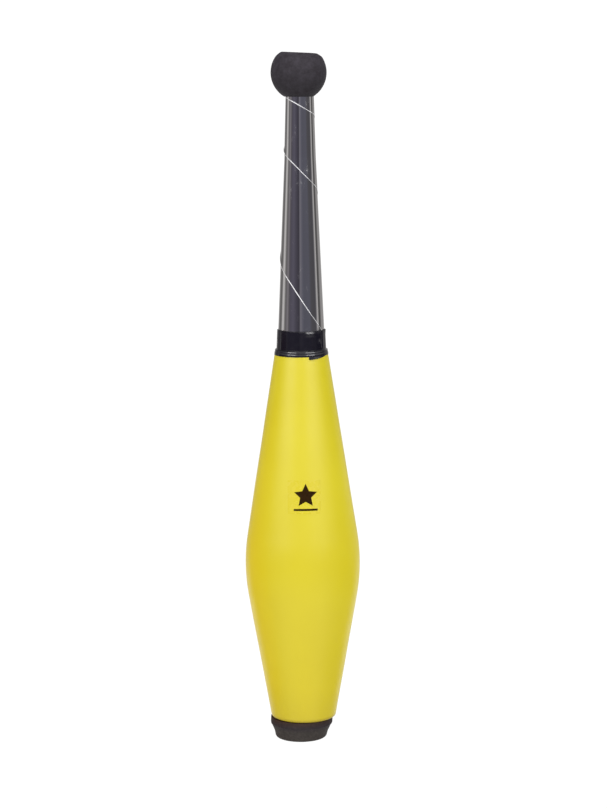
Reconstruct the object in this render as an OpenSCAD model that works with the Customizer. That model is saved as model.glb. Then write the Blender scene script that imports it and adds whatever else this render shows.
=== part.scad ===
// Juggling club, 520 mm long, standing on its end cap with the knob up.
// A beech dowel runs the whole length. The knob is screwed to its top end and the end cap to its
// bottom end, and those two screws clamp the blow-moulded body, the neck bush and the rolled handle
// sleeve between them. Origin: centre of the end cap's foot. +Z runs up the club's axis.

/* [Club] */
// Overall length, foot to top of knob
club_len = 520; // [500:1:540]
// Diameter of the wooden dowel
dowel_d = 14; // [12:0.5:15]

/* [Body] */
// Widest diameter, at the belly
belly_d = 86.7; // [80:0.1:92]
// Height of the widest point
belly_z = 136; // [128:1:145]
// Radius of the curve that joins the two tapers at the belly
belly_curve = 148; // [110:1:160]
// Diameter where the body meets the end cap
foot_d = 48.8; // [47.6:0.1:50]
// Diameter at the neck shoulder
neck_d = 39.3; // [39.2:0.1:40.5]
// Height of the neck shoulder
shoulder_z = 298.5; // [295:0.5:302]
// Wall thickness of the moulding
body_wall = 1.6; // [1.2:0.1:2]
// Depth of the step in the neck that seats the tape
neck_step = 0.2; // [0.1:0.1:0.5]
// Length of the spigot that plugs into the handle
spigot_len = 23.5; // [20:0.5:28]
// Outer diameter of the neck bush, which is the bore of the spigot
bush_d = 28; // [26:0.5:29]

/* [Handle] */
// Diameter of the handle under the knob
grip_top_d = 21.3; // [20.8:0.1:21.6]
// Height where the handle's taper changes
grip_bend_z = 443; // [430:1:455]
// Diameter where the handle's taper changes
grip_bend_d = 23.6; // [23:0.1:24.2]
// Diameter of the handle at the neck shoulder
grip_low_d = 36; // [35.4:0.1:36]
// Thickness of the rolled plastic sleeve
sleeve_wall = 0.8; // [0.6:0.1:0.8]
// Thickness of the mirror foil round the sleeve
foil_wall = 0.2; // [0.15:0.05:0.2]
// Height of the bottom edge of the collar tape
tape_z = 295.4; // [295:0.1:296.4]
// Width of the collar tape
tape_w = 19; // [18:0.1:20]

/* [Knob] */
// Diameter of the knob
knob_d = 41.4; // [40:0.1:43]
// Height of the knob from its lower to its upper flat
knob_h = 32.8; // [32.5:0.1:34]
// Rounding at the edge of the upper flat
knob_round = 5; // [2:0.5:6]

/* [End cap] */
// Height of the cap below the body
cap_h = 16.5; // [14:0.5:17]
// Diameter of the cap's lip
cap_lip_d = 46.8; // [46:0.1:47.5]
// Height of the straight lip
cap_lip_h = 5; // [3:0.1:6]
// Diameter of the foot, outside its rounding
cap_foot_d = 40.2; // [36:0.1:41]
// Rounding of the foot's edge
cap_round = 3; // [2:0.5:4]
// Diameter of the spigot that plugs into the body
cap_spigot_d = 35; // [32:0.5:36]

/* [Fasteners] */
// Diameter of the recess for each screw head and washer
recess_d = 14; // [13.5:0.5:15]
// Depth of the recesses
recess_depth = 5.5; // [5:0.1:6]
// Rubber left between a recess and the end of the dowel
web = 3.5; // [3:0.1:4]
// Diameter of each screw's shank
screw_d = 3.5; // [3:0.1:4]
// Length of each screw under its head
screw_len = 30; // [25:1:35]
// Number of tacks round the neck
tacks = 3; // [2:1:4]
// Height of the tacks
tack_z = 306; // [304:0.5:308]
// Angle of the first tack round the axis, from +X
tack_a = -42; // [-60:1:60]

/* [Label] */
// Side of the square label
label_w = 24.5; // [20:0.5:26]
// Height of the label's middle
label_z = 193; // [180:1:200]
// Distance from the club's front centre line
label_x = 1.4; // [-4:0.1:4]

/* [Hidden] */
$fn = 96;

arc_steps = 20;
grip_top_z = club_len - knob_h;
dowel_r = dowel_d / 2;
dowel_low = recess_depth + web;
dowel_high = club_len - recess_depth - web;
spigot_top = shoulder_z + spigot_len;
flange_h = 2.5;
flange_gap = 0.2;
bush_low = shoulder_z + 1.5;
body_floor = 3;
tape_top = tape_z + tape_w;
tape_on_body = 0.3;
tape_on_grip = 0.85;
shoulder_round = 1.4;
label_t = 0.12;
tack_r = 0.6;
tack_head_r = 1.75;
tack_head_t = 0.4;
tack_len = 6;
tack_pocket_gap = 0.07;
washer_d = 13;
washer_bore_d = 4.2;
washer_t = 1;
head_d = 8;
head_h = 2.6;

// Points of an arc round centre, from angle from_a to angle to_a.
function arc(centre, radius, from_a, to_a, steps) = [
    for (i = [0 : steps])
        let (a = from_a + (to_a - from_a) * i / steps)
            centre + radius * [cos(a), sin(a)]
];

// A point's angle round the belly curve where a line from that point touches it: side is -1 below, 1 above.
belly_centre = [belly_d / 2 - belly_curve, belly_z];
function touch_angle(point, side) =
    let (d = point - belly_centre)
        atan2(d[1], d[0]) - side * acos(belly_curve / norm(d));
low_a = touch_angle([foot_d / 2, cap_h], -1);
high_a = touch_angle([neck_d / 2, shoulder_z], 1);

// Radius of a taper that leaves the belly curve at angle a, at height z, with depth taken off the surface.
function taper_r(a, z, depth = 0) =
    let (p = belly_centre + (belly_curve - depth) * [cos(a), sin(a)])
        p[0] - (z - p[1]) * tan(a);

// Outer radius of the handle at height z.
function grip_r(z) = z > grip_bend_z
    ? grip_bend_d / 2 + (grip_top_d - grip_bend_d) / 2 * (z - grip_bend_z) / (grip_top_z - grip_bend_z)
    : grip_bend_d / 2 + (grip_low_d - grip_bend_d) / 2 * (grip_bend_z - z) / (grip_bend_z - shoulder_z);

// The rounded shoulder of the body's neck, from the tape's step inwards to the foot of the handle.
shoulder_r = taper_r(high_a, shoulder_z - shoulder_round) - neck_step - shoulder_round;
shoulder = concat(
    [[taper_r(high_a, tape_z) - neck_step, tape_z]],
    arc([shoulder_r, shoulder_z - shoulder_round], shoulder_round, 0, 90, 5),
    [[grip_r(shoulder_z), shoulder_z]]
);

// A conical tube that follows the handle, its outer face at depth outer and its inner face at depth inner.
module grip_tube(outer, inner, low, high) {
    heights = low < grip_bend_z && high > grip_bend_z ? [low, grip_bend_z, high] : [low, high];
    outside = [for (z = heights) [grip_r(z) - outer, z]];
    inside = [for (i = [len(heights) - 1 : -1 : 0]) [grip_r(heights[i]) - inner, heights[i]]];
    rotate_extrude() polygon(concat(outside, inside));
}

// A tube round the axis.
module tube(outer_r, inner_r, low, high) {
    rotate_extrude() translate([inner_r, low]) square([outer_r - inner_r, high - low]);
}

// Places its children at each tack, with +Z pointing outwards from the axis.
module at_tacks() {
    for (i = [0 : tacks - 1])
        rotate([0, 0, tack_a + i * 360 / tacks]) translate([0, 0, tack_z]) rotate([0, 90, 0]) children();
}

// The holes that the tacks' shanks make.
module tack_holes() {
    tip = grip_r(tack_z) + tack_head_t - tack_len;
    at_tacks() translate([0, 0, tip]) cylinder(r = tack_r, h = tack_len, $fn = 24);
}

// Pan-head screw with a cross recess. Its shank points along -Z and the head's underside is at 0.
module pan_screw() {
    dome = 1;
    slot_w = 1.1;
    slot_l = 4.8;
    slot_depth = 1.7;
    point_h = 4;
    difference() {
        union() {
            rotate_extrude() polygon(concat(
                [[0, 0], [head_d / 2, 0], [head_d / 2, head_h - dome]],
                arc([head_d / 2 - dome, head_h - dome], dome, 0, 90, 5),
                [[0, head_h]]
            ));
            translate([0, 0, point_h - screw_len]) cylinder(d = screw_d, h = screw_len - point_h);
            translate([0, 0, -screw_len]) cylinder(r1 = 0.3, r2 = screw_d / 2, h = point_h);
        }
        for (a = [0, 90])
            rotate([0, 0, a]) translate([-slot_l / 2, -slot_w / 2, head_h - slot_depth])
                cube([slot_l, slot_w, slot_depth + 1]);
    }
}

// Plain washer standing on height z.
module washer(z) {
    tube(washer_d / 2, washer_bore_d / 2, z, z + washer_t);
}

// Blow-moulded body: two tapers joined by the belly curve, an open floor and a neck spigot.
module body_shell() {
    foot_round = 1.2;
    bore = bush_d / 2;
    floor_z = cap_h + body_floor;
    neck_thick_z = shoulder_z - 3;
    neck_thin_z = shoulder_z - 12;
    outside = concat(
        [[cap_spigot_d / 2, cap_h], [foot_d / 2 - foot_round, cap_h]],
        arc([taper_r(low_a, cap_h + foot_round) - foot_round, cap_h + foot_round], foot_round, -80, 0, 4),
        arc(belly_centre, belly_curve, low_a, high_a, arc_steps),
        [[taper_r(high_a, tape_z), tape_z]],
        shoulder,
        [[grip_r(shoulder_z) - foil_wall - sleeve_wall, shoulder_z]],
        [[grip_r(spigot_top) - foil_wall - sleeve_wall, spigot_top]]
    );
    inside = concat(
        [[bore, spigot_top], [bore, neck_thick_z]],
        [[taper_r(high_a, neck_thin_z, body_wall), neck_thin_z]],
        arc(belly_centre, belly_curve - body_wall, high_a, low_a, arc_steps),
        [[taper_r(low_a, floor_z, body_wall), floor_z], [cap_spigot_d / 2, floor_z]]
    );
    color("gold") difference() {
        rotate_extrude($fn = 128) polygon(concat(outside, inside));
        tack_holes();
    }
}

// Flanged bush that centres the dowel in the neck and takes the tacks' points.
module neck_bush() {
    flange_r = grip_r(spigot_top + flange_h) - foil_wall - sleeve_wall - flange_gap;
    color("ivory") difference() {
        rotate_extrude() polygon([
            [dowel_r, bush_low], [bush_d / 2, bush_low], [bush_d / 2, spigot_top],
            [flange_r, spigot_top], [flange_r, spigot_top + flange_h], [dowel_r, spigot_top + flange_h]
        ]);
        tack_holes();
    }
}

// Full-length wooden dowel with a pilot hole in each end.
module dowel_core() {
    chamfer = 0.8;
    pilot_low = recess_depth + screw_len - washer_t;
    pilot_high = club_len - pilot_low;
    color("burlywood") difference() {
        rotate_extrude() polygon([
            [0, dowel_low], [dowel_r - chamfer, dowel_low], [dowel_r, dowel_low + chamfer],
            [dowel_r, dowel_high - chamfer], [dowel_r - chamfer, dowel_high], [0, dowel_high]
        ]);
        translate([0, 0, dowel_low - 1]) cylinder(d = screw_d, h = pilot_low - dowel_low + 1);
        translate([0, 0, pilot_high]) cylinder(d = screw_d, h = dowel_high - pilot_high + 1);
    }
}

// Foam tube on the dowel, which pads the grip and centres the sleeve's top end.
module handle_foam() {
    outer_r = grip_top_d / 2 - foil_wall - sleeve_wall;
    color("gainsboro") tube(outer_r, dowel_r, spigot_top + flange_h, grip_top_z);
}

// Plastic sheet rolled into a cone, pushed over the neck spigot.
module handle_sleeve() {
    color("whitesmoke") difference() {
        grip_tube(foil_wall, foil_wall + sleeve_wall, shoulder_z, grip_top_z);
        tack_holes();
    }
}

// Mirror foil rolled round the sleeve.
module mirror_foil() {
    color("silver") difference() {
        grip_tube(0, foil_wall, shoulder_z, grip_top_z);
        tack_holes();
    }
}

// Black vinyl tape wound over the joint between body and handle, with hollows over the tacks' heads.
module collar_tape() {
    pocket_r = tack_head_r + tack_pocket_gap;
    inside = concat(shoulder, [[grip_r(tape_top), tape_top]]);
    outside = concat(
        [[grip_r(tape_top) + tape_on_grip, tape_top]],
        [[grip_r(shoulder_z + 1) + tape_on_grip, shoulder_z + 1]],
        [for (i = [len(shoulder) - 3 : -1 : 1]) shoulder[i] + [tape_on_body, tape_on_body * (i - 1) / 3]],
        [shoulder[0] + [tape_on_body, 0]]
    );
    color("black") difference() {
        rotate_extrude() polygon(concat(inside, outside));
        at_tacks() translate([0, 0, grip_low_d / 2 - 2])
            cylinder(r = pocket_r, h = head_top() + tack_pocket_gap - grip_low_d / 2 + 2, $fn = 32);
    }
}

// Distance from the axis to the underside and to the outer face of a tack's head.
function head_under() = grip_r(tack_z - tack_head_r) + 0.03;
function head_top() = head_under() + tack_head_t;

// Flat-headed tacks that pin the sleeve to the neck, under the tape.
module neck_tacks() {
    tip = grip_r(tack_z) + tack_head_t - tack_len;
    color("silver") at_tacks() {
        translate([0, 0, tip + 0.1]) cylinder(r = tack_r, h = head_under() - tip, $fn = 24);
        translate([0, 0, head_under()]) cylinder(r = tack_head_r, h = tack_head_t, $fn = 32);
    }
}

// Foam-rubber ball with an upper and a lower flat, a bore for the dowel and a screw recess.
module knob() {
    r = knob_d / 2;
    centre_z = grip_top_z + sqrt(r * r - (grip_top_d / 2 + 0.3) ^ 2);
    rise = club_len - centre_z;
    round_x = sqrt((r - knob_round) ^ 2 - (rise - knob_round) ^ 2);
    round_a = atan2(rise - knob_round, round_x);
    low_flat_a = -acos((grip_top_d / 2 + 0.3) / r);
    recess_z = club_len - recess_depth;
    color("dimgray") rotate_extrude() polygon(concat(
        [[dowel_r, grip_top_z]],
        arc([0, centre_z], r, low_flat_a, round_a, arc_steps),
        arc([round_x, club_len - knob_round], knob_round, round_a, 90, 6),
        [[recess_d / 2, club_len], [recess_d / 2, recess_z], [screw_d / 2, recess_z]],
        [[screw_d / 2, dowel_high], [dowel_r, dowel_high]]
    ));
}

module knob_washer() {
    color("silver") washer(club_len - recess_depth);
}

module knob_screw() {
    color("silver") translate([0, 0, club_len - recess_depth + washer_t]) pan_screw();
}

// Rubber end cap with a straight lip, a tapered foot, a spigot into the body and a screw recess.
module end_cap() {
    foot_r = cap_foot_d / 2;
    lip_r = cap_lip_d / 2;
    lip_z = cap_h - cap_lip_h;
    edge = 0.6;
    color("dimgray") rotate_extrude() polygon(concat(
        [[recess_d / 2, 0], [foot_r - cap_round, 0]],
        arc([foot_r - cap_round, cap_round], cap_round, -75, 0, 5),
        [[lip_r - edge, lip_z], [lip_r, lip_z + 2 * edge], [lip_r, cap_h - edge], [lip_r - edge, cap_h]],
        [[cap_spigot_d / 2, cap_h], [cap_spigot_d / 2, cap_h + 8], [dowel_r, cap_h + 8]],
        [[dowel_r, dowel_low], [screw_d / 2, dowel_low], [screw_d / 2, recess_depth]],
        [[recess_d / 2, recess_depth]]
    ));
}

module end_washer() {
    color("silver") washer(recess_depth - washer_t);
}

module end_screw() {
    color("silver") translate([0, 0, recess_depth - washer_t]) rotate([180, 0, 0]) pan_screw();
}

// Clear film label on the front of the body's upper taper.
module label() {
    low = label_z - label_w / 2;
    high = label_z + label_w / 2;
    color("khaki") intersection() {
        rotate_extrude($fn = 128) polygon([
            [taper_r(high_a, low), low], [taper_r(high_a, low) + label_t, low],
            [taper_r(high_a, high) + label_t, high], [taper_r(high_a, high), high]
        ]);
        translate([label_x - label_w / 2, -belly_d, low]) cube([label_w, belly_d, label_w]);
    }
}

body_shell();
neck_bush();
dowel_core();
handle_foam();
handle_sleeve();
mirror_foil();
collar_tape();
neck_tacks();
knob();
knob_washer();
knob_screw();
end_cap();
end_washer();
end_screw();
label();
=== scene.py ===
"""Looks of a juggling club: yellow body, spiral-wound mirror film, taped neck, foam knob and rubber cap."""
import math

import bmesh
import bpy
from mathutils import Matrix, Vector, noise


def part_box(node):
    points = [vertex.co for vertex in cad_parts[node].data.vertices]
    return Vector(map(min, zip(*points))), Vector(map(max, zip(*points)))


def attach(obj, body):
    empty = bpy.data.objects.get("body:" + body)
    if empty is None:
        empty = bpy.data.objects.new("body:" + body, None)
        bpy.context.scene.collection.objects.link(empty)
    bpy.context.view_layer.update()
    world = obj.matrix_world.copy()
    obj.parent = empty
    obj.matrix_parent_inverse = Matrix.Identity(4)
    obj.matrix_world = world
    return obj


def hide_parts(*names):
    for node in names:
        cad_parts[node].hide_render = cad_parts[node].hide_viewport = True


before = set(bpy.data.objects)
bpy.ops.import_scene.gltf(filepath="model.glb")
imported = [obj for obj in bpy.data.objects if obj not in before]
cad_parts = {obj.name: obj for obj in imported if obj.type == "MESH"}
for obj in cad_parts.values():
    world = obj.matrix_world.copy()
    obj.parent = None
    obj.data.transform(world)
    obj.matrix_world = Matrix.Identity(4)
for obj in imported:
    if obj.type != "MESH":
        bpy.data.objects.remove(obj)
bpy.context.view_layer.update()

MM = 0.001
TAU = 2 * math.pi

# ---------------------------------------------------------------- dimensions
# They come from the frame where it has them.
CLUB_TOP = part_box("knob")[1].z
KNOB_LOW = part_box("knob")[0].z
KNOB_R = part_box("knob")[1].x
CAP_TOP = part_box("body_shell")[0].z
BELLY_R = 43.35 * MM
BELLY_Z = 136 * MM
BELLY_CURVE = 148 * MM
FOOT_R = 24.4 * MM
NECK_R = 19.65 * MM
SHOULDER_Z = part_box("mirror_foil")[0].z
SHOULDER_ROUND = 1.4 * MM
NECK_STEP = 0.2 * MM
BODY_WALL = 1.6 * MM
BUSH_R = 14 * MM
SPIGOT_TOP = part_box("body_shell")[1].z
GRIP_TOP_R = 10.65 * MM
GRIP_BEND_Z = 443 * MM
GRIP_BEND_R = 11.8 * MM
GRIP_LOW_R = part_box("mirror_foil")[1].x
SKIN = 1.0 * MM
TAPE_LOW, TAPE_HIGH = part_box("collar_tape")[0].z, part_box("collar_tape")[1].z
RECESS_R = 7 * MM
RECESS_DEPTH = 5.5 * MM
DOWEL_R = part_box("dowel_core")[1].x
DOWEL_LOW, DOWEL_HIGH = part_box("dowel_core")[0].z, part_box("dowel_core")[1].z
SCREW_R = 1.75 * MM


def grip_r(z):
    """Outer radius of the handle at height z."""
    if z > GRIP_BEND_Z:
        return GRIP_BEND_R + (GRIP_TOP_R - GRIP_BEND_R) * (z - GRIP_BEND_Z) / (KNOB_LOW - GRIP_BEND_Z)
    return GRIP_BEND_R + (GRIP_LOW_R - GRIP_BEND_R) * (GRIP_BEND_Z - z) / (GRIP_BEND_Z - SHOULDER_Z)


def on_axis(angle, radius, z):
    """Point at an angle round the axis: 0 is the front, -Y, and a quarter turn is the right, +X."""
    return Vector((radius * math.sin(angle), -radius * math.cos(angle), z))


def arc(centre, radius, start, end, steps):
    """Points (r, z) of an arc, with its angles in degrees from the +r direction."""
    angles = [math.radians(start + (end - start) * i / steps) for i in range(steps + 1)]
    return [(centre[0] + radius * math.cos(a), centre[1] + radius * math.sin(a)) for a in angles]


def stretch(a, b, steps):
    """Points from a to b, without b."""
    return [(a[0] + (b[0] - a[0]) * i / steps, a[1] + (b[1] - a[1]) * i / steps) for i in range(steps)]


def smooth_step(x, low, high):
    """0 below low, 1 above high, and a smooth rise between them."""
    t = min(1, max(0, (x - low) / (high - low)))
    return t * t * (3 - 2 * t)


def dent(x, middle, width):
    """A smooth hump that is 1 at the middle and fades to 0 at either side."""
    return math.exp(-(((x - middle) / width) ** 2))


# ---------------------------------------------------------------- mesh helpers
def finish_mesh(name, points, faces, sharp=35):
    """Makes an object from points and faces, smooth apart from edges sharper than an angle in degrees."""
    mesh = bpy.data.meshes.new(name)
    mesh.from_pydata([tuple(p) for p in points], [], faces)
    bm = bmesh.new()
    bm.from_mesh(mesh)
    bmesh.ops.remove_doubles(bm, verts=bm.verts, dist=1e-7)
    bmesh.ops.recalc_face_normals(bm, faces=bm.faces)
    bm.to_mesh(mesh)
    bm.free()
    mesh.shade_smooth()
    mesh.set_sharp_from_angle(angle=math.radians(sharp))
    obj = bpy.data.objects.new(name, mesh)
    bpy.context.scene.collection.objects.link(obj)
    return obj


def lathe(name, profile, segments=160, shape=None, sharp=35):
    """Turns a closed profile of (r, z) points round the axis. shape(angle, r, z) places a point its own way."""
    points, faces = [], []
    for i in range(segments):
        angle = TAU * i / segments
        for r, z in profile:
            points.append(shape(angle, r, z) if shape else on_axis(angle, r, z))
    n = len(profile)
    for i in range(segments):
        j = (i + 1) % segments
        for k in range(n):
            m = (k + 1) % n
            faces.append((i * n + k, j * n + k, j * n + m, i * n + m))
    return finish_mesh(name, points, faces, sharp)


def closed_sheet(name, outer, inner, sharp=35):
    """Closes two grids of points, rows by columns, into one solid strip."""
    rows, columns = len(outer), len(outer[0])
    points = [p for grid in (outer, inner) for row in grid for p in row]
    base = rows * columns

    def at(side, i, j):
        return side * base + i * columns + j

    faces = []
    for i in range(rows - 1):
        for j in range(columns - 1):
            faces.append((at(0, i, j), at(0, i + 1, j), at(0, i + 1, j + 1), at(0, i, j + 1)))
            faces.append((at(1, i, j), at(1, i, j + 1), at(1, i + 1, j + 1), at(1, i + 1, j)))
    for i in range(rows - 1):
        for j in (0, columns - 1):
            faces.append((at(0, i, j), at(1, i, j), at(1, i + 1, j), at(0, i + 1, j)))
    for j in range(columns - 1):
        for i in (0, rows - 1):
            faces.append((at(0, i, j), at(0, i, j + 1), at(1, i, j + 1), at(1, i, j)))
    return finish_mesh(name, points, faces, sharp)


# ---------------------------------------------------------------- material helpers
def new_material(name, colour, **sockets):
    """A Principled material. Returns it with its node tree and its shader."""
    mat = bpy.data.materials.new(name)
    mat.use_nodes = True
    tree = mat.node_tree
    shader = tree.nodes["Principled BSDF"]
    shader.inputs["Base Color"].default_value = (*colour, 1)
    for key, value in sockets.items():
        shader.inputs[key.replace("_", " ").title().replace("Ior", "IOR")].default_value = value
    return mat, tree, shader


def noise_node(tree, scale, detail=3, stretch_by=(1, 1, 1), roughness=0.5):
    """Noise in the part's own coordinates, in features per metre."""
    coords = tree.nodes.new("ShaderNodeTexCoord")
    mapping = tree.nodes.new("ShaderNodeMapping")
    mapping.inputs["Scale"].default_value = stretch_by
    tex = tree.nodes.new("ShaderNodeTexNoise")
    tex.inputs["Scale"].default_value = scale
    tex.inputs["Detail"].default_value = detail
    tex.inputs["Roughness"].default_value = roughness
    tree.links.new(coords.outputs["Object"], mapping.inputs["Vector"])
    tree.links.new(mapping.outputs["Vector"], tex.inputs["Vector"])
    return tex.outputs["Fac"]


def ramp(tree, fac, *stops):
    """Colour ramp with stops of (place, colour)."""
    node = tree.nodes.new("ShaderNodeValToRGB")
    elements = node.color_ramp.elements
    while len(elements) < len(stops):
        elements.new(0.5)
    for element, (place, colour) in zip(elements, stops):
        element.position = place
        element.color = (*colour, 1) if isinstance(colour, tuple) else (colour, colour, colour, 1)
    tree.links.new(fac, node.inputs["Fac"])
    return node.outputs["Color"]


def shade_by_height(tree, shader, colour, *stops):
    """Multiplies a base colour by a ramp over the height in the part's own coordinates, in metres."""
    coords = tree.nodes.new("ShaderNodeTexCoord")
    split = tree.nodes.new("ShaderNodeSeparateXYZ")
    tree.links.new(coords.outputs["Object"], split.inputs["Vector"])
    mix = tree.nodes.new("ShaderNodeMix")
    mix.data_type = "RGBA"
    mix.blend_type = "MULTIPLY"
    mix.inputs["Factor"].default_value = 1
    tree.links.new(colour, mix.inputs["A"])
    tree.links.new(ramp(tree, split.outputs["Z"], *stops), mix.inputs["B"])
    tree.links.new(mix.outputs["Result"], shader.inputs["Base Color"])


def bump(tree, shader, height, distance, strength=1.0):
    """Adds a bump under the shader's normal, chained after any bump that is there."""
    node = tree.nodes.new("ShaderNodeBump")
    node.inputs["Distance"].default_value = distance
    node.inputs["Strength"].default_value = strength
    tree.links.new(height, node.inputs["Height"])
    old = shader.inputs["Normal"].links
    if old:
        tree.links.new(old[0].from_socket, node.inputs["Normal"])
    tree.links.new(node.outputs["Normal"], shader.inputs["Normal"])


# ---------------------------------------------------------------- materials
def body_plastic():
    """Satin polyethylene."""
    mat, tree, shader = new_material("body_plastic", (0.745, 0.635, 0.011), roughness=0.36, ior=1.54)
    tint = noise_node(tree, 28, 2)
    light = ramp(tree, tint, (0.3, (0.733, 0.62, 0.011)), (0.7, (0.753, 0.643, 0.013)))
    # Painted shade: the base colour darkens towards the foot, most in its blue, for the dimmer light there. Its
    # lowest millimetre, over the cap, is painted dark brown as the shadow in the gap between body and cap.
    shade_by_height(tree, shader, light, (0.0166, (0.3, 0.24, 0.1)), (0.0176, (0.76, 0.71, 0.1)),
                    (0.045, (0.87, 0.83, 0.2)), (0.09, (0.92, 0.89, 0.6)), (0.2, 1.0))
    scuff = noise_node(tree, 160, 5)
    tree.links.new(ramp(tree, scuff, (0.35, 0.33), (0.75, 0.42)), shader.inputs["Roughness"])
    bump(tree, shader, noise_node(tree, 60, 2), 0.12 * MM, 0.5)
    bump(tree, shader, noise_node(tree, 2600, 2), 0.01 * MM, 0.4)
    return mat


def mirror_film():
    """Dark metallised film, dusty in patches."""
    mat, tree, shader = new_material("mirror_film", (0.54, 0.535, 0.54), metallic=1.0, roughness=0.05)
    dust = noise_node(tree, 240, 8, (1, 1, 0.35), 0.68)
    tree.links.new(ramp(tree, dust, (0.5, 0.03), (0.6, 0.08), (0.7, 0.2)), shader.inputs["Roughness"])
    bump(tree, shader, noise_node(tree, 70, 2, (1, 1, 0.12)), 0.03 * MM, 0.4)
    return mat


def film_edge_painted_highlight():
    """The film's cut edge, coloured near-white in flecks: a painted highlight for the bright line that light
    catches along the seam.
    """
    mat, tree, shader = new_material("film_edge_painted_highlight", (0.9, 0.9, 0.91), roughness=0.35)
    highlight_fleck = noise_node(tree, 110, 2)
    tree.links.new(ramp(tree, highlight_fleck, (0.3, (0.45, 0.45, 0.46)), (0.5, (0.95, 0.95, 0.96))),
                   shader.inputs["Base Color"])
    return mat


def vinyl_tape():
    """Black PVC tape, smooth where it is new and duller where it is worn."""
    mat, tree, shader = new_material("vinyl_tape", (0.010, 0.009, 0.015), roughness=0.12, ior=1.42)
    worn = noise_node(tree, 300, 4)
    tree.links.new(ramp(tree, worn, (0.4, 0.09), (0.8, 0.22)), shader.inputs["Roughness"])
    bump(tree, shader, noise_node(tree, 450, 3), 0.03 * MM, 0.5)
    return mat


def knob_foam():
    """Black foam rubber, mottled by use."""
    mat, tree, shader = new_material("knob_foam", (0.03, 0.027, 0.033), roughness=0.75)
    patches = noise_node(tree, 190, 5, roughness=0.75)
    colour = ramp(tree, patches, (0.36, (0.017, 0.011, 0.018)), (0.5, (0.029, 0.023, 0.032)),
                  (0.64, (0.042, 0.034, 0.047)))
    # Painted shade: it darkens towards the handle, as the light comes from above.
    shade_by_height(tree, shader, colour, (0.482, 0.42), (0.497, 0.58), (0.511, 0.95))
    bump(tree, shader, noise_node(tree, 1600, 3), 0.12 * MM, 0.5)
    return mat


def cap_rubber():
    """Black rubber with dust in its pores."""
    mat, tree, shader = new_material("cap_rubber", (0.036, 0.029, 0.025), roughness=0.68, ior=1.4)
    dust = noise_node(tree, 500, 4)
    colour = ramp(tree, dust, (0.35, (0.028, 0.0225, 0.019)), (0.75, (0.046, 0.037, 0.032)))
    # Painted shade: the lip, under the body's overhang, is darker than the foot, with a violet tint. Its upper
    # edge is tinted yellow-brown as a painted reflection of the yellow body.
    shade_by_height(tree, shader, colour, (0.0102, 1.0), (0.0118, (0.62, 0.53, 0.76)),
                    (0.0152, (0.68, 0.53, 0.7)), (0.0163, (1.3, 0.6, 0.05)))
    bump(tree, shader, noise_node(tree, 1800, 2), 0.04 * MM, 0.5)
    return mat


def label_film():
    """The clear sticker, which takes the body's colour and is glossier than the body."""
    mat, tree, shader = new_material("label_film", (0.735, 0.615, 0.016), roughness=0.28, ior=1.5)
    worn = noise_node(tree, 260, 3)
    tree.links.new(ramp(tree, worn, (0.4, 0.25), (0.8, 0.34)), shader.inputs["Roughness"])
    return mat


def print_ink():
    """Dark brown matte ink."""
    mat, tree, shader = new_material(
        "print_ink", (0.02, 0.010, 0.003), roughness=0.6, specular_ior_level=0.03
    )
    patch = noise_node(tree, 900, 3)
    tree.links.new(ramp(tree, patch, (0.3, (0.022, 0.010, 0.002)), (0.8, (0.038, 0.018, 0.005))),
                   shader.inputs["Base Color"])
    return mat


def zinc_plate():
    """Zinc-plated steel."""
    mat, tree, shader = new_material("zinc_plate", (0.62, 0.63, 0.62), metallic=1.0, roughness=0.3)
    grain = noise_node(tree, 1500, 4)
    tree.links.new(ramp(tree, grain, (0.35, 0.24), (0.75, 0.42)), shader.inputs["Roughness"])
    return mat


def beech_wood():
    """Beech with its grain along the dowel."""
    mat, tree, shader = new_material("beech_wood", (0.6, 0.42, 0.25), roughness=0.6)
    grain = noise_node(tree, 900, 5, (1, 1, 0.03))
    tree.links.new(ramp(tree, grain, (0.35, (0.42, 0.27, 0.14)), (0.65, (0.64, 0.46, 0.28))),
                   shader.inputs["Base Color"])
    bump(tree, shader, grain, 0.05 * MM, 0.5)
    return mat


def pale_plastic(name, colour, roughness):
    """A pale plastic with a faint grain."""
    mat, tree, shader = new_material(name, colour, roughness=roughness)
    grain = noise_node(tree, 700, 3)
    darker = tuple(0.86 * c for c in colour)
    tree.links.new(ramp(tree, grain, (0.35, darker), (0.7, colour)), shader.inputs["Base Color"])
    bump(tree, shader, grain, 0.03 * MM, 0.4)
    return mat


# ---------------------------------------------------------------- body
def touch_angle(point, side):
    """Angle round the belly curve where a line from a point touches it: side is -1 below and 1 above."""
    dr, dz = point[0] - (BELLY_R - BELLY_CURVE), point[1] - BELLY_Z
    away = math.degrees(math.acos(BELLY_CURVE / math.hypot(dr, dz)))
    return math.degrees(math.atan2(dz, dr)) - side * away


LOW_A = touch_angle((FOOT_R, CAP_TOP), -1)
HIGH_A = touch_angle((NECK_R, SHOULDER_Z), 1)


def taper_r(a, z, depth=0.0):
    """Radius at height z of the taper that leaves the belly curve at angle a, depth under the surface."""
    a = math.radians(a)
    r0 = BELLY_R - BELLY_CURVE + (BELLY_CURVE - depth) * math.cos(a)
    z0 = BELLY_Z + (BELLY_CURVE - depth) * math.sin(a)
    return r0 - (z - z0) * math.tan(a)


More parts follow.
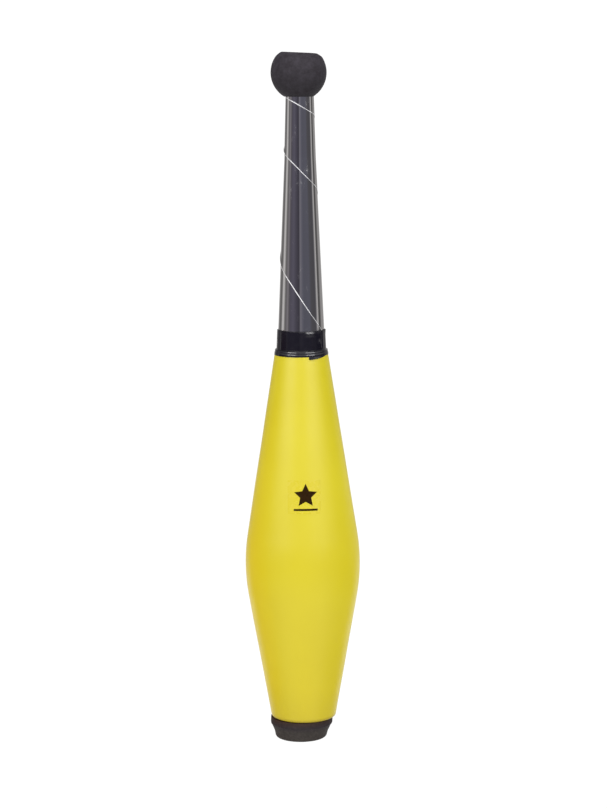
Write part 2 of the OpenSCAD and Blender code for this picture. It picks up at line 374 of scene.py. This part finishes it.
def make_body():
    """The hollow shell: two tapers that meet in the belly's curve, with a spigot at the top."""
    centre = (BELLY_R - BELLY_CURVE, BELLY_Z)
    foot_round = 2.0 * MM
    spigot_r = 17.5 * MM
    floor_z = CAP_TOP + 3 * MM
    thick_z, thin_z = SHOULDER_Z - 3 * MM, SHOULDER_Z - 12 * MM
    outer_arc = arc(centre, BELLY_CURVE, LOW_A, HIGH_A, 48)
    inner_arc = arc(centre, BELLY_CURVE - BODY_WALL, HIGH_A, LOW_A, 24)
    foot_centre = (taper_r(LOW_A, CAP_TOP + foot_round) - foot_round, CAP_TOP + foot_round)
    shoulder_r = taper_r(HIGH_A, SHOULDER_Z - SHOULDER_ROUND) - NECK_STEP - SHOULDER_ROUND
    foot = [(spigot_r, CAP_TOP)] + arc(foot_centre, foot_round, -88, 0, 8)
    neck_edge = (taper_r(HIGH_A, TAPE_LOW), TAPE_LOW)
    outside = (
        foot + stretch(foot[-1], outer_arc[0], 24)[1:]
        + outer_arc + stretch(outer_arc[-1], neck_edge, 30)[1:]
        + [neck_edge, (neck_edge[0] - NECK_STEP, TAPE_LOW)]
        + arc((shoulder_r, SHOULDER_Z - SHOULDER_ROUND), SHOULDER_ROUND, 0, 90, 6)
        + [(grip_r(SHOULDER_Z) - SKIN, SHOULDER_Z), (grip_r(SPIGOT_TOP) - SKIN, SPIGOT_TOP)]
    )
    inside = (
        [(BUSH_R, SPIGOT_TOP), (BUSH_R, thick_z), (taper_r(HIGH_A, thin_z, BODY_WALL), thin_z)]
        + inner_arc + [(taper_r(LOW_A, floor_z, BODY_WALL), floor_z), (spigot_r, floor_z)]
    )

    fade = 20 * MM
    ripples, ripple_h, sink = 28, 0.12 * MM, 0.08 * MM
    line_h, line_w = 0.07 * MM, 0.5 * MM

    def shape(angle, r, z):
        # The wall sags and swells a little, as a blown wall does, and has a parting line down each side.
        free = min(1, max(0, (z - CAP_TOP) / fade)) * min(1, max(0, (TAPE_LOW - z) / fade))
        ripple = noise.noise(on_axis(angle, r, z) * ripples) * ripple_h * free
        line = line_h * dent(math.cos(angle) * r, 0, line_w) * free
        return on_axis(angle, min(r + ripple - sink * free + line, BELLY_R), z)

    body = lathe("body_skin", outside + inside, 256, shape)
    body.data.materials.append(body_plastic())
    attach(body, "root")
    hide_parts("body_shell")


# ---------------------------------------------------------------- handle film
SEAM_START = 528.2 * MM
SEAM_DROP = 47.5 * MM
SEAM_GROWTH = 2.0
SEAM_RIPPLE = 0.35 * MM
FILM_UNDER = 0.17 * MM
FILM_STEP = 0.15 * MM
FILM_T = 0.03 * MM
FILM_TUCK = 1.5 * MM
EDGE_LIFT, EDGE_LIFT_H = 0.02 * MM, 1.5 * MM
# Blisters at the film's edge: the turn, the height over the edge, and the spread up and down.
BLISTERS = ((0.75, 0.6 * MM, 1.2 * MM), (1.75, 1.5 * MM, 2.6 * MM))
BLISTER_RISE, BLISTER_TURN = 0.5 * MM, 0.045


def seam_z(turn):
    """Height of the film's free edge, which winds down the handle with a growing pitch."""
    ripple = SEAM_RIPPLE * math.sin(3 * TAU * turn)
    return SEAM_START - (SEAM_DROP + ripple) * SEAM_GROWTH ** turn


def film_r(turn, z):
    """Outer radius of the wound film: it climbs one film's thickness a turn and lifts along its edge."""
    above, edge = seam_z(turn - 1), seam_z(turn)
    climb = (above - z) / (above - edge)
    lift = EDGE_LIFT * math.exp(-max(0, z - edge) / EDGE_LIFT_H)
    for blister_turn, height, spread in BLISTERS:
        lift += BLISTER_RISE * dent(turn, blister_turn, BLISTER_TURN) * dent(z - edge, height, spread)
    return grip_r(z) - FILM_UNDER + FILM_STEP * climb + lift


def make_film():
    """The wound film as one strip that overlaps itself, from the knob to the tape."""
    per_turn, rows = 128, 44
    first, last = -0.28, 3.28
    towards_edge = 1.6
    outer, inner = [], []
    steps = int((last - first) * per_turn)
    for i in range(steps + 1):
        turn = first + (last - first) * i / steps
        high = min(KNOB_LOW, seam_z(turn - 1) + FILM_TUCK)
        low = min(max(SHOULDER_Z, seam_z(turn)), high - 0.05 * MM)
        line = [high + (low - high) * (1 - (1 - j / rows) ** towards_edge) for j in range(rows + 1)]
        outer.append([on_axis(TAU * turn, film_r(turn, z), z) for z in line])
        inner.append([on_axis(TAU * turn, film_r(turn, z) - FILM_T, z) for z in line])
    film = closed_sheet("film_wrap", outer, inner, 50)
    film.data.materials.append(mirror_film())
    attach(film, "root")
    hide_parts("mirror_foil")


def make_film_edge():
    """The film's cut edge, a narrow ribbon that follows the seam, made bright by a painted highlight."""
    proud, sunk, lifted = 0.05 * MM, 0.02 * MM, 0.1 * MM
    first, last, per_turn = -0.2, 2.23, 192
    bit, end_part = 0.002, 0.03
    section = ((-0.5, 0.25), (-0.25, 0.9), (0, 1), (0.25, 0.9), (0.5, 0.25))
    outer, inner = [], []
    steps = int((last - first) * per_turn)
    for i in range(steps + 1):
        turn = first + (last - first) * i / steps
        z, ahead = seam_z(turn), seam_z(turn + bit)
        r = film_r(turn, z)
        along = Vector((bit * TAU * r, ahead - z)).normalized()
        taper = min(1, (turn - first) / end_part + 0.2, (last - turn) / end_part + 0.2)
        # The edge, and with it its painted highlight, shows widest at the front left of each turn.
        width = (0.36 + 0.36 * dent(turn - math.floor(turn + 0.5), -0.07, 0.1)) * MM
        row_out, row_in = [], []
        for j, height in section:
            across = width * taper * j
            angle = TAU * turn - along.y * across / r
            place = z + along.x * across + lifted
            row_out.append(on_axis(angle, r + proud * height, place))
            row_in.append(on_axis(angle, r - sunk, place))
        outer.append(row_out)
        inner.append(row_in)
    edge = closed_sheet("film_seam", outer, inner, 60)
    # Its near-white colour is a painted highlight along the seam.
    edge.data.materials.append(film_edge_painted_highlight())
    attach(edge, "root")


# ---------------------------------------------------------------- collar tape
TAPE_T = 0.18 * MM
TAPE_LAYERS = 3
RING_R = 20.1 * MM
RING_TILT = math.radians(12.5)
RING_FOOT, RING_FACE, RING_H = 1.2 * MM, 3.9 * MM, 5 * MM
RING_EDGE = 0.25 * MM
WRAP_R = 18 * MM
TACK_ANGLE, TACK_Z = math.radians(48), 306 * MM
LIP_ANGLE, LIP_H = math.radians(23), 1.9 * MM


def tape_base_r(z):
    """Radius of what the tape is wound on: the handle, and the body's rounded shoulder below it."""
    shoulder = taper_r(HIGH_A, z) - NECK_STEP
    on_shoulder = 1 - smooth_step(z, SHOULDER_Z - 1.6 * MM, SHOULDER_Z + 1.2 * MM)
    return grip_r(z) + (shoulder - grip_r(z)) * on_shoulder


def tape_core_r(z):
    """Radius that the wraps reach together: a ring with a groove over the shoulder, and flat above it."""
    up = z - TAPE_LOW
    hem = RING_EDGE * (1 - smooth_step(up, 0, 2 * RING_EDGE))
    groove = 0.07 * MM * dent(up, 2.55 * MM, 0.28 * MM)
    ring = RING_R - math.tan(RING_TILT) * max(0, up - RING_FOOT) - groove
    ring -= 1.4 * MM * smooth_step(up, RING_FACE, RING_H)
    return max(grip_r(z) + TAPE_LAYERS * TAPE_T, ring) - hem


def tack_bump(angle, z):
    """How far the tape stands out over the heads of the three tacks."""
    rise, spread = 0.35 * MM, 1.4 * MM
    total = 0
    for i in range(3):
        off = (angle - TACK_ANGLE - TAU * i / 3 + math.pi) % TAU - math.pi
        total += dent(off * WRAP_R, 0, spread) * dent(z, TACK_Z, spread)
    return rise * total


def tape_creases(angle, z):
    """Folds beside the front right tack, a lip under the upper edge in front, and faint wrinkles."""
    round_front = ((angle + math.pi) % TAU - math.pi) * WRAP_R
    high = smooth_step(z, TAPE_LOW + RING_H, TAPE_LOW + RING_H + 3 * MM)
    fold = 0.2 * dent(round_front, 19.2 * MM, 0.7 * MM) - 0.28 * dent(round_front, 17.9 * MM, 0.6 * MM)
    fall = max(0, z - TAPE_HIGH + LIP_H) / (1.6 * MM)
    swell = max(0, smooth_step(z, TAPE_HIGH - 5 * MM, TAPE_HIGH - LIP_H) - fall)
    lip = 0.25 * min(1, 1.5 * dent(angle, LIP_ANGLE, math.radians(13))) * swell
    wrinkle = noise.noise(on_axis(angle, WRAP_R, z * 0.4) * 170) * 0.04
    return (fold * high + wrinkle + lip) * MM


def wound_r(angle, z):
    """Outer radius of the inner wraps, whose upper edges line up only at the lip."""
    r = tape_core_r(z) - TAPE_LAYERS * TAPE_T
    ragged = 1 - 0.85 * dent(angle, LIP_ANGLE, math.radians(16))
    for i in range(TAPE_LAYERS):
        high = TAPE_HIGH - (0.3 + 0.3 * i + 0.2 * math.sin(angle + 2.1 * i)) * ragged * MM
        r += TAPE_T * smooth_step(high - z, -0.05 * MM, 0.05 * MM)
    return r + tape_creases(angle, z) + tack_bump(angle, z)


def make_tape():
    """The inner wraps as one tube, and the last wrap as a strip of its own."""
    rows = 150
    heights = [TAPE_LOW + (TAPE_HIGH - TAPE_LOW) * i / rows for i in range(rows + 1)]

    def shape(angle, r, z):
        # The profile has 1 for the outside and 0 for the inside, in place of a radius.
        if r > 0:
            return on_axis(angle, max(wound_r(angle, z), tape_base_r(z) + 0.04 * MM), z)
        return on_axis(angle, tape_base_r(z) + 0.01 * MM, z)

    profile = [(1, z) for z in heights] + [(0, z) for z in reversed(heights)]
    tape = lathe("tape_wraps", profile, 256, shape, 60)
    vinyl = vinyl_tape()
    tape.data.materials.append(vinyl)
    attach(tape, "root")
    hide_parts("collar_tape")

    # The last wrap. Its cut end is at the front right, where it slants down and stands off the body.
    end_angle, length = math.radians(16), math.radians(338)
    columns, steps = 110, 260
    width = TAPE_HIGH - TAPE_LOW - 0.5 * MM
    slanted = 0.19
    hang_z, flat_z = TAPE_LOW + 0.3 * MM, TAPE_HIGH - 1.1 * MM
    outer, inner = [], []
    for i in range(steps + 1):
        along = (i / steps) ** 1.4
        angle = end_angle + length * along
        drop = (1.9 * (1 - smooth_step(along, 0, slanted)) - 0.55 * dent(along, 0.17, 0.06)) * MM
        stand_off = 0.6 * MM * math.exp(-along / 0.05)
        flare = 0.35 * MM * dent(along, slanted, 0.05)
        row_out, row_in = [], []
        for j in range(columns + 1):
            z = TAPE_LOW + 0.05 * MM - drop + width * j / columns
            if z > hang_z:
                r = wound_r(angle, min(z, flat_z))
            else:
                r = max(wound_r(angle, hang_z), taper_r(HIGH_A, z) + 0.15 * MM)
            r += stand_off * smooth_step(TAPE_LOW + 0.8 * MM - z, 0, 3 * MM)
            r += flare * smooth_step(z, TAPE_HIGH - 5 * MM, TAPE_HIGH)
            row_out.append(on_axis(angle, r + TAPE_T, z))
            row_in.append(on_axis(angle, r + 0.01 * MM, z))
        outer.append(row_out)
        inner.append(row_in)
    last = closed_sheet("tape_last_wrap", outer, inner, 60)
    last.data.materials.append(vinyl)
    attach(last, "root")


# ---------------------------------------------------------------- knob
def make_knob():
    """The ball, seated on the handle's end, with its flat face and the screw's recess."""
    seat_r = GRIP_TOP_R + 0.3 * MM
    centre_z = KNOB_LOW + math.sqrt(KNOB_R ** 2 - seat_r ** 2)
    rise = CLUB_TOP - centre_z
    soft = 4.6 * MM
    slope = math.tan(math.radians(2.5))
    slope_r = 15 * MM
    dome, dome_r, dome_end_r, dome_h = 0.8 * MM, 12 * MM, 16.5 * MM, 3.5 * MM
    lean = 0.7 * MM
    recess_z = CLUB_TOP - RECESS_DEPTH
    low_a = -math.degrees(math.acos(seat_r / KNOB_R))

    def skin(angle):
        """Outline of the ball at one angle: its upper face is cut askew, low on the right."""
        rise_here = rise - slope * slope_r * (1 + math.sin(angle))
        soft_r = math.sqrt((KNOB_R - soft) ** 2 - (rise_here - soft) ** 2)
        soft_a = math.degrees(math.atan2(rise_here - soft, soft_r))
        top = (soft_r, centre_z + rise_here)
        inner = (RECESS_R + 0.3 * MM, CLUB_TOP - slope * (slope_r + RECESS_R * math.sin(angle)))
        points = (
            arc((0, centre_z), KNOB_R, low_a, soft_a, 70)
            + arc((soft_r, top[1] - soft), soft, soft_a, 90, 20)[1:] + stretch(top, inner, 8)[1:] + [inner]
        )
        # The face rounds over before its edge, as cut foam does.
        rounded = []
        for r, z in points:
            drop = dome * smooth_step(r, dome_r, dome_end_r) * smooth_step(z, top[1] - dome_h, top[1])
            rounded.append((r, z - drop))
        return rounded

    skin_points = len(skin(0))
    cache = {}

    def shape(angle, r, z):
        # Without a height, r is the number of a point on the ball's outline at this angle.
        if z is None:
            if angle not in cache:
                cache[angle] = skin(angle)
            r, z = cache[angle][r]
        point = on_axis(angle, r, z)
        point.x -= lean * smooth_step(r, RECESS_R + 1 * MM, 12 * MM)
        return point

    profile = (
        stretch((DOWEL_R, KNOB_LOW), (seat_r, KNOB_LOW), 2) + [(i, None) for i in range(skin_points)]
        + [(RECESS_R, CLUB_TOP - 1.6 * MM), (RECESS_R, recess_z)]
        + [(SCREW_R, recess_z), (SCREW_R, DOWEL_HIGH), (DOWEL_R, DOWEL_HIGH)]
    )
    knob = lathe("knob_ball", profile, 192, shape)
    knob.data.materials.append(knob_foam())
    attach(knob, "root")
    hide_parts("knob")


# ---------------------------------------------------------------- end cap
def make_cap():
    """The foot: a tapered rubber shoe with a lip round the body's end and a spigot inside it."""
    foot_r, foot_round = 19.75 * MM, 2.2 * MM
    waist = (20.45 * MM, 4.9 * MM)
    lip_r, lip_h, edge = 23.6 * MM, 5.9 * MM, 0.6 * MM
    spigot_r, spigot_h = 17.5 * MM, 8 * MM
    lip_z = CAP_TOP - lip_h
    groove_h, groove_r = 0.25 * MM, 20 * MM
    lip_top = CAP_TOP - groove_h
    foot = arc((foot_r - foot_round, foot_round), foot_round, -90, -14, 12)
    tiny = 1e-6
    profile = (
        [(RECESS_R + 0.3 * MM, 0)] + stretch((RECESS_R + 2 * MM, 0), foot[0], 4) + foot
        + stretch(foot[-1], waist, 4)[1:] + stretch(waist, (lip_r - edge, lip_z), 6)
        + [(lip_r - edge, lip_z), (lip_r - 0.3 * edge, lip_z + 0.5 * edge), (lip_r, lip_z + 1.5 * edge)]
        + stretch((lip_r, lip_z + 2 * edge), (lip_r, lip_top - edge), 4)
        + arc((lip_r - edge, lip_top - edge), edge, 0, 90, 5)
        + [(groove_r, lip_top), (groove_r, CAP_TOP)]
        + [(spigot_r, CAP_TOP), (spigot_r, CAP_TOP + spigot_h), (DOWEL_R, CAP_TOP + spigot_h)]
        + [(DOWEL_R, DOWEL_LOW), (SCREW_R, DOWEL_LOW), (SCREW_R, RECESS_DEPTH), (RECESS_R, RECESS_DEPTH)]
        + [(RECESS_R, 0.3 * MM)]
    )

    def shape(angle, r, z):
        # The rubber is pushed on by hand, so it sits a little to one side of the body, and more so at
        # the foot. The spigot stays centred.
        point = on_axis(angle, r, z)
        if r > spigot_r + tiny or z < CAP_TOP - tiny:
            shift = (2.05 - 0.65 * z / CAP_TOP) * MM
            point.x -= shift * smooth_step(r, RECESS_R + 1 * MM, RECESS_R + 5 * MM)
        return point

    cap = lathe("cap_shoe", profile, 160, shape)
    cap.data.materials.append(cap_rubber())
    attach(cap, "root")
    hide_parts("end_cap")


# ---------------------------------------------------------------- label
def make_print():
    """A plain star over a plain bar, printed on the label."""
    low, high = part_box("label")
    centre_x, centre_z = 2.5 * MM, (low.z + high.z) / 2 + 1 * MM
    ink_t, ink_gap = 0.02 * MM, 0.003 * MM
    label_t = 0.12 * MM

    def on_label(x, z, depth):
        r = taper_r(HIGH_A, z) + label_t + depth
        return Vector((x, -math.sqrt(r * r - x * x), z))

    def plate(name, outline, at, rings):
        """A thin plate from an outline of (x, z) points that is star-shaped about its middle."""
        n = len(outline)
        flat = [at]
        for k in range(1, rings + 1):
            flat += [(at[0] + x * k / rings, at[1] + z * k / rings) for x, z in outline]
        top = [(0, 1 + j, 1 + (j + 1) % n) for j in range(n)]
        for k in range(rings - 1):
            a, b = 1 + k * n, 1 + (k + 1) * n
            top += [(a + j, b + j, b + (j + 1) % n, a + (j + 1) % n) for j in range(n)]
        count = len(flat)
        points = [on_label(x, z, depth) for depth in (ink_t, ink_gap) for x, z in flat]
        under = [tuple(i + count for i in reversed(f)) for f in top]
        last = count - n
        rim = []
        for j in range(n):
            a, b = last + j, last + (j + 1) % n
            rim.append((a, b, count + b, count + a))
        piece = finish_mesh(name, points, top + under + rim, 40)
        piece.data.materials.append(ink)
        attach(piece, "root")

    ink = print_ink()
    star_r, inner_r = 9.0 * MM, 4.3 * MM
    corners = []
    for i in range(10):
        r = inner_r if i % 2 else star_r
        corners.append((r * math.sin(math.pi * i / 5), r * math.cos(math.pi * i / 5)))
    star = [p for i in range(10) for p in stretch(corners[i], corners[(i + 1) % 10], 5)]
    plate("label_star", star, (centre_x, centre_z), 10)
    half_w, half_h = 8.9 * MM, 0.75 * MM
    box = [(-half_w, -half_h), (half_w, -half_h), (half_w, half_h), (-half_w, half_h)]
    bar = [p for i, steps in enumerate((24, 2, 24, 2)) for p in stretch(box[i], box[(i + 1) % 4], steps)]
    plate("label_bar", bar, (centre_x, low.z + 3 * MM), 12)


# ---------------------------------------------------------------- carried-over nodes
def paint_nodes():
    """Gives the CAD pieces that stay their materials."""
    zinc = zinc_plate()
    looks = {
        "knob_washer": zinc, "knob_screw": zinc, "end_washer": zinc, "end_screw": zinc, "neck_tacks": zinc,
        "dowel_core": beech_wood(),
        "neck_bush": pale_plastic("nylon", (0.72, 0.69, 0.6), 0.4),
        "handle_foam": pale_plastic("white_foam", (0.8, 0.8, 0.8), 0.8),
        "handle_sleeve": pale_plastic("rolled_sheet", (0.75, 0.77, 0.78), 0.3),
        "label": label_film(),
    }
    for node, mat in looks.items():
        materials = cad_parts[node].data.materials
        materials.clear()
        materials.append(mat)


# ---------------------------------------------------------------- studio
def add_area(name, place, aim, size, power, colour=(1, 1, 1)):
    """A rectangular light that the camera doesn't see."""
    light = bpy.data.lights.new(name, "AREA")
    light.shape = "RECTANGLE"
    light.size, light.size_y = size
    light.energy = power
    light.color = colour
    obj = bpy.data.objects.new(name, light)
    bpy.context.scene.collection.objects.link(obj)
    obj.location = place
    obj.rotation_euler = (Vector(aim) - Vector(place)).to_track_quat("-Z", "Y").to_euler()
    obj.visible_camera = False
    return obj


def make_world():
    """White to the camera. To the object it is a room, dark at eye level in front and bright above."""
    world = bpy.data.worlds.new("studio")
    bpy.context.scene.world = world
    world.use_nodes = True
    tree = world.node_tree
    nodes, links = tree.nodes, tree.links
    nodes.clear()
    coords = nodes.new("ShaderNodeTexCoord")
    split = nodes.new("ShaderNodeSeparateXYZ")
    links.new(coords.outputs["Generated"], split.inputs["Vector"])

    def math_node(operation, a, b):
        node = nodes.new("ShaderNodeMath")
        node.operation = operation
        for socket, value in zip(node.inputs, (a, b)):
            if isinstance(value, (int, float)):
                socket.default_value = value
            else:
                links.new(value, socket)
        return node.outputs[0]

    minus_y = math_node("MULTIPLY", split.outputs["Y"], -1)
    azimuth = math_node("ARCTAN2", split.outputs["X"], minus_y)
    turn = math_node("ADD", math_node("DIVIDE", azimuth, TAU), 0.5)

    def tint(degrees):
        """Colour of the room at eye level: warm at the sides and behind, violet and blue in front."""
        if abs(degrees) > 85:
            return (1.0, 0.97, 0.955)
        if degrees < -62:
            return (1.0, 0.93, 1.0)
        if degrees < -8:
            return (1.0, 0.93, 1.22)
        if degrees < 8:
            return (1.0, 0.96, 1.13)
        return (1.0, 1.0, 1.25) if degrees < 50 else (1.0, 0.97, 1.07)

    def room_ramp(stops, tinted):
        """Ramp round the room from (azimuth, brightness) stops."""
        places = []
        for degrees, value in stops:
            colour = tint(degrees) if tinted else (1, 1, 1)
            places.append((degrees / 360 + 0.5, tuple(value * c for c in colour)))
        return ramp(tree, turn, *places)

    horizon = room_ramp((
        (-180, 0.8), (-143, 0.28), (-132, 0.2), (-121, 0.24), (-112, 0.78), (-103, 0.86), (-96, 0.4),
        (-89, 0.2), (-82, 0.25), (-74, 0.34), (-67, 0.16), (-58, 0.135), (-42, 0.16), (-28, 0.115),
        (-13, 0.08), (-8, 0.09), (-5, 0.26), (2, 0.24), (8, 0.18), (16, 0.15), (45, 0.155), (57, 0.125),
        (80, 0.115), (85, 0.2), (91, 0.6), (97, 0.72), (102, 0.15), (110, 0.11), (118, 0.24), (127, 0.5),
        (143, 0.38), (180, 0.8),
    ), True)
    sky = room_ramp((
        (-180, 0.3), (-140, 0.15), (-112, 0.18), (-92, 0.4), (-74, 0.7), (-66, 1.2), (-36, 1.5),
        (-29, 1.0), (10, 1.0), (18, 1.3), (46, 1.3), (54, 1.0), (66, 0.95), (90, 0.6), (115, 0.3),
        (145, 0.4), (180, 0.35),
    ), False)
    # The light table, which the neighbours hide at the sides.
    # It takes over from the room between 7 and 15 degrees down.
    table = room_ramp((
        (-180, 0.95), (-140, 0.95), (-122, 0.3), (-66, 0.3), (-46, 0.9),
        (46, 0.9), (66, 0.3), (122, 0.3), (140, 0.95), (180, 0.95),
    ), False)
    # The room goes over into the ceiling between 3 and 10 degrees up.
    height = nodes.new("ShaderNodeMapRange")
    height.interpolation_type = "SMOOTHSTEP"
    height.inputs["From Min"].default_value = math.sin(math.radians(3))
    height.inputs["From Max"].default_value = math.sin(math.radians(10))
    links.new(split.outputs["Z"], height.inputs["Value"])
    room = nodes.new("ShaderNodeMix")
    room.data_type = "RGBA"
    links.new(height.outputs["Result"], room.inputs["Factor"])
    links.new(horizon, room.inputs["A"])
    links.new(sky, room.inputs["B"])
    ground = nodes.new("ShaderNodeMix")
    ground.data_type = "RGBA"
    below = math_node("MULTIPLY", split.outputs["Z"], -1)
    links.new(ramp(tree, below, (0.13, 0.0), (0.26, 1.0)), ground.inputs["Factor"])
    links.new(room.outputs["Result"], ground.inputs["A"])
    links.new(table, ground.inputs["B"])
    room_light = nodes.new("ShaderNodeBackground")
    links.new(ground.outputs["Result"], room_light.inputs["Color"])
    # It is brightest from 11 to 19 degrees up, round the soft boxes, with plain ceiling above.
    bands = ((0, 1.0), (8, 1.15), (11, 1.9), (19, 1.9), (23, 0.75), (32, 0.55), (90, 0.5))
    lift = ramp(tree, split.outputs["Z"], *((math.sin(math.radians(a)), value) for a, value in bands))
    links.new(lift, room_light.inputs["Strength"])
    backdrop = nodes.new("ShaderNodeBackground")
    backdrop.inputs["Color"].default_value = (1, 1, 1, 1)
    backdrop.inputs["Strength"].default_value = 1.05
    path = nodes.new("ShaderNodeLightPath")
    mix = nodes.new("ShaderNodeMixShader")
    links.new(path.outputs["Is Camera Ray"], mix.inputs["Fac"])
    links.new(room_light.outputs["Background"], mix.inputs[1])
    links.new(backdrop.outputs["Background"], mix.inputs[2])
    out = nodes.new("ShaderNodeOutputWorld")
    links.new(mix.outputs["Shader"], out.inputs["Surface"])


def make_flags():
    """Two flags beside the club, unseen by the camera, that its glossy sides mirror as its neighbours."""
    outline = ((0.1, 1), (50, 1), (50, 110), (34, 270), (34, 306), (0.1, 306))
    neighbours = (
        ("flag_left", -118 * MM, (0.4, 0.06, 0.02)),
        ("flag_right", 118 * MM, (0.05, 0.06, 0.10)),
    )
    for name, x, colour in neighbours:
        flag = lathe(name, [(r * MM, z * MM) for r, z in outline], 48)
        flag.location = (x, -8 * MM, 0)
        flag.visible_camera = False
        flag.visible_diffuse = False
        flag.visible_shadow = False
        mat, tree, shader = new_material(name, colour, roughness=0.6, specular_ior_level=0.1)
        shade = tuple(0.9 * c for c in colour)
        patches = ramp(tree, noise_node(tree, 40), (0.3, shade), (0.7, colour))
        shade_by_height(tree, shader, patches, (0.25, 1.0), (0.29, 0.15))
        flag.data.materials.append(mat)


def make_floor():
    """A round light table, as white as the backdrop and unseen by glossy surfaces."""
    radius, corners = 0.36, 96
    turns = [TAU * i / corners for i in range(corners)]
    ring = [(radius * math.cos(a), radius * math.sin(a), 0) for a in turns]
    mesh = bpy.data.meshes.new("floor")
    mesh.from_pydata(ring, [], [tuple(range(corners))])
    floor = bpy.data.objects.new("floor", mesh)
    bpy.context.scene.collection.objects.link(floor)
    mat, tree, shader = new_material("light_table", (0.06, 0.06, 0.06), roughness=0.9)
    grain = noise_node(tree, 300, 3)
    tree.links.new(ramp(tree, grain, (0.3, 0.055), (0.7, 0.065)), shader.inputs["Base Color"])
    shader.inputs["Emission Color"].default_value = (1, 1, 1, 1)
    shader.inputs["Emission Strength"].default_value = 1.0
    floor.data.materials.append(mat)
    floor.visible_glossy = False


def make_studio():
    """Room, lights, flags and light table, none of them part of the club."""
    make_world()
    add_area("overhead", (0, -0.1, 1.9), (0, 0, 0.1), (1.2, 1.2), 8)
    # Two long, low soft boxes in front, whose reflections run round the tape's ring.
    aim_z, distance, up = 0.3, 2, math.radians(15.5)
    out, rise = distance * math.cos(up), distance * math.sin(up)
    for name, azimuth in (("box_left", -42), ("box_right", 40)):
        turn = math.radians(azimuth)
        place = (out * math.sin(turn), -out * math.cos(turn), aim_z + rise)
        add_area(name, place, (0, 0, aim_z), (1.4, 0.13), 6)
    # Light that the neighbours throw on the belly's sides, seen by no glossy surface.
    for name, x, colour in (("glow_left", -0.235, (1, 0.64, 0.3)), ("glow_right", 0.235, (1, 1, 1))):
        glow = add_area(name, (x, 0.085, 0.145), (0, 0, 0.135), (0.08, 0.13), 0.12, colour)
        glow.visible_glossy = False
    make_flags()
    make_floor()
    view = bpy.context.scene.view_settings
    view.view_transform = "Standard"
    view.look = "None"


def make_camera():
    """1.8 m in front, 15 mm higher than the knob's top, and looking down by 8.7 degrees."""
    camera = bpy.data.cameras.new("camera")
    camera.sensor_width = 36
    camera.lens = 108.6
    camera.clip_start = 0.05
    obj = bpy.data.objects.new("camera", camera)
    bpy.context.scene.collection.objects.link(obj)
    pitch, roll = math.radians(90 - 8.704), math.radians(-0.37)
    turn = Matrix.Rotation(pitch, 4, "X") @ Matrix.Rotation(roll, 4, "Z")
    obj.matrix_world = Matrix.Translation((1.35 * MM, -1.815, 0.535)) @ turn
    bpy.context.scene.camera = obj


make_camera()
make_body()
make_film()
make_film_edge()
make_tape()
make_knob()
make_cap()
make_print()
paint_nodes()
make_studio()
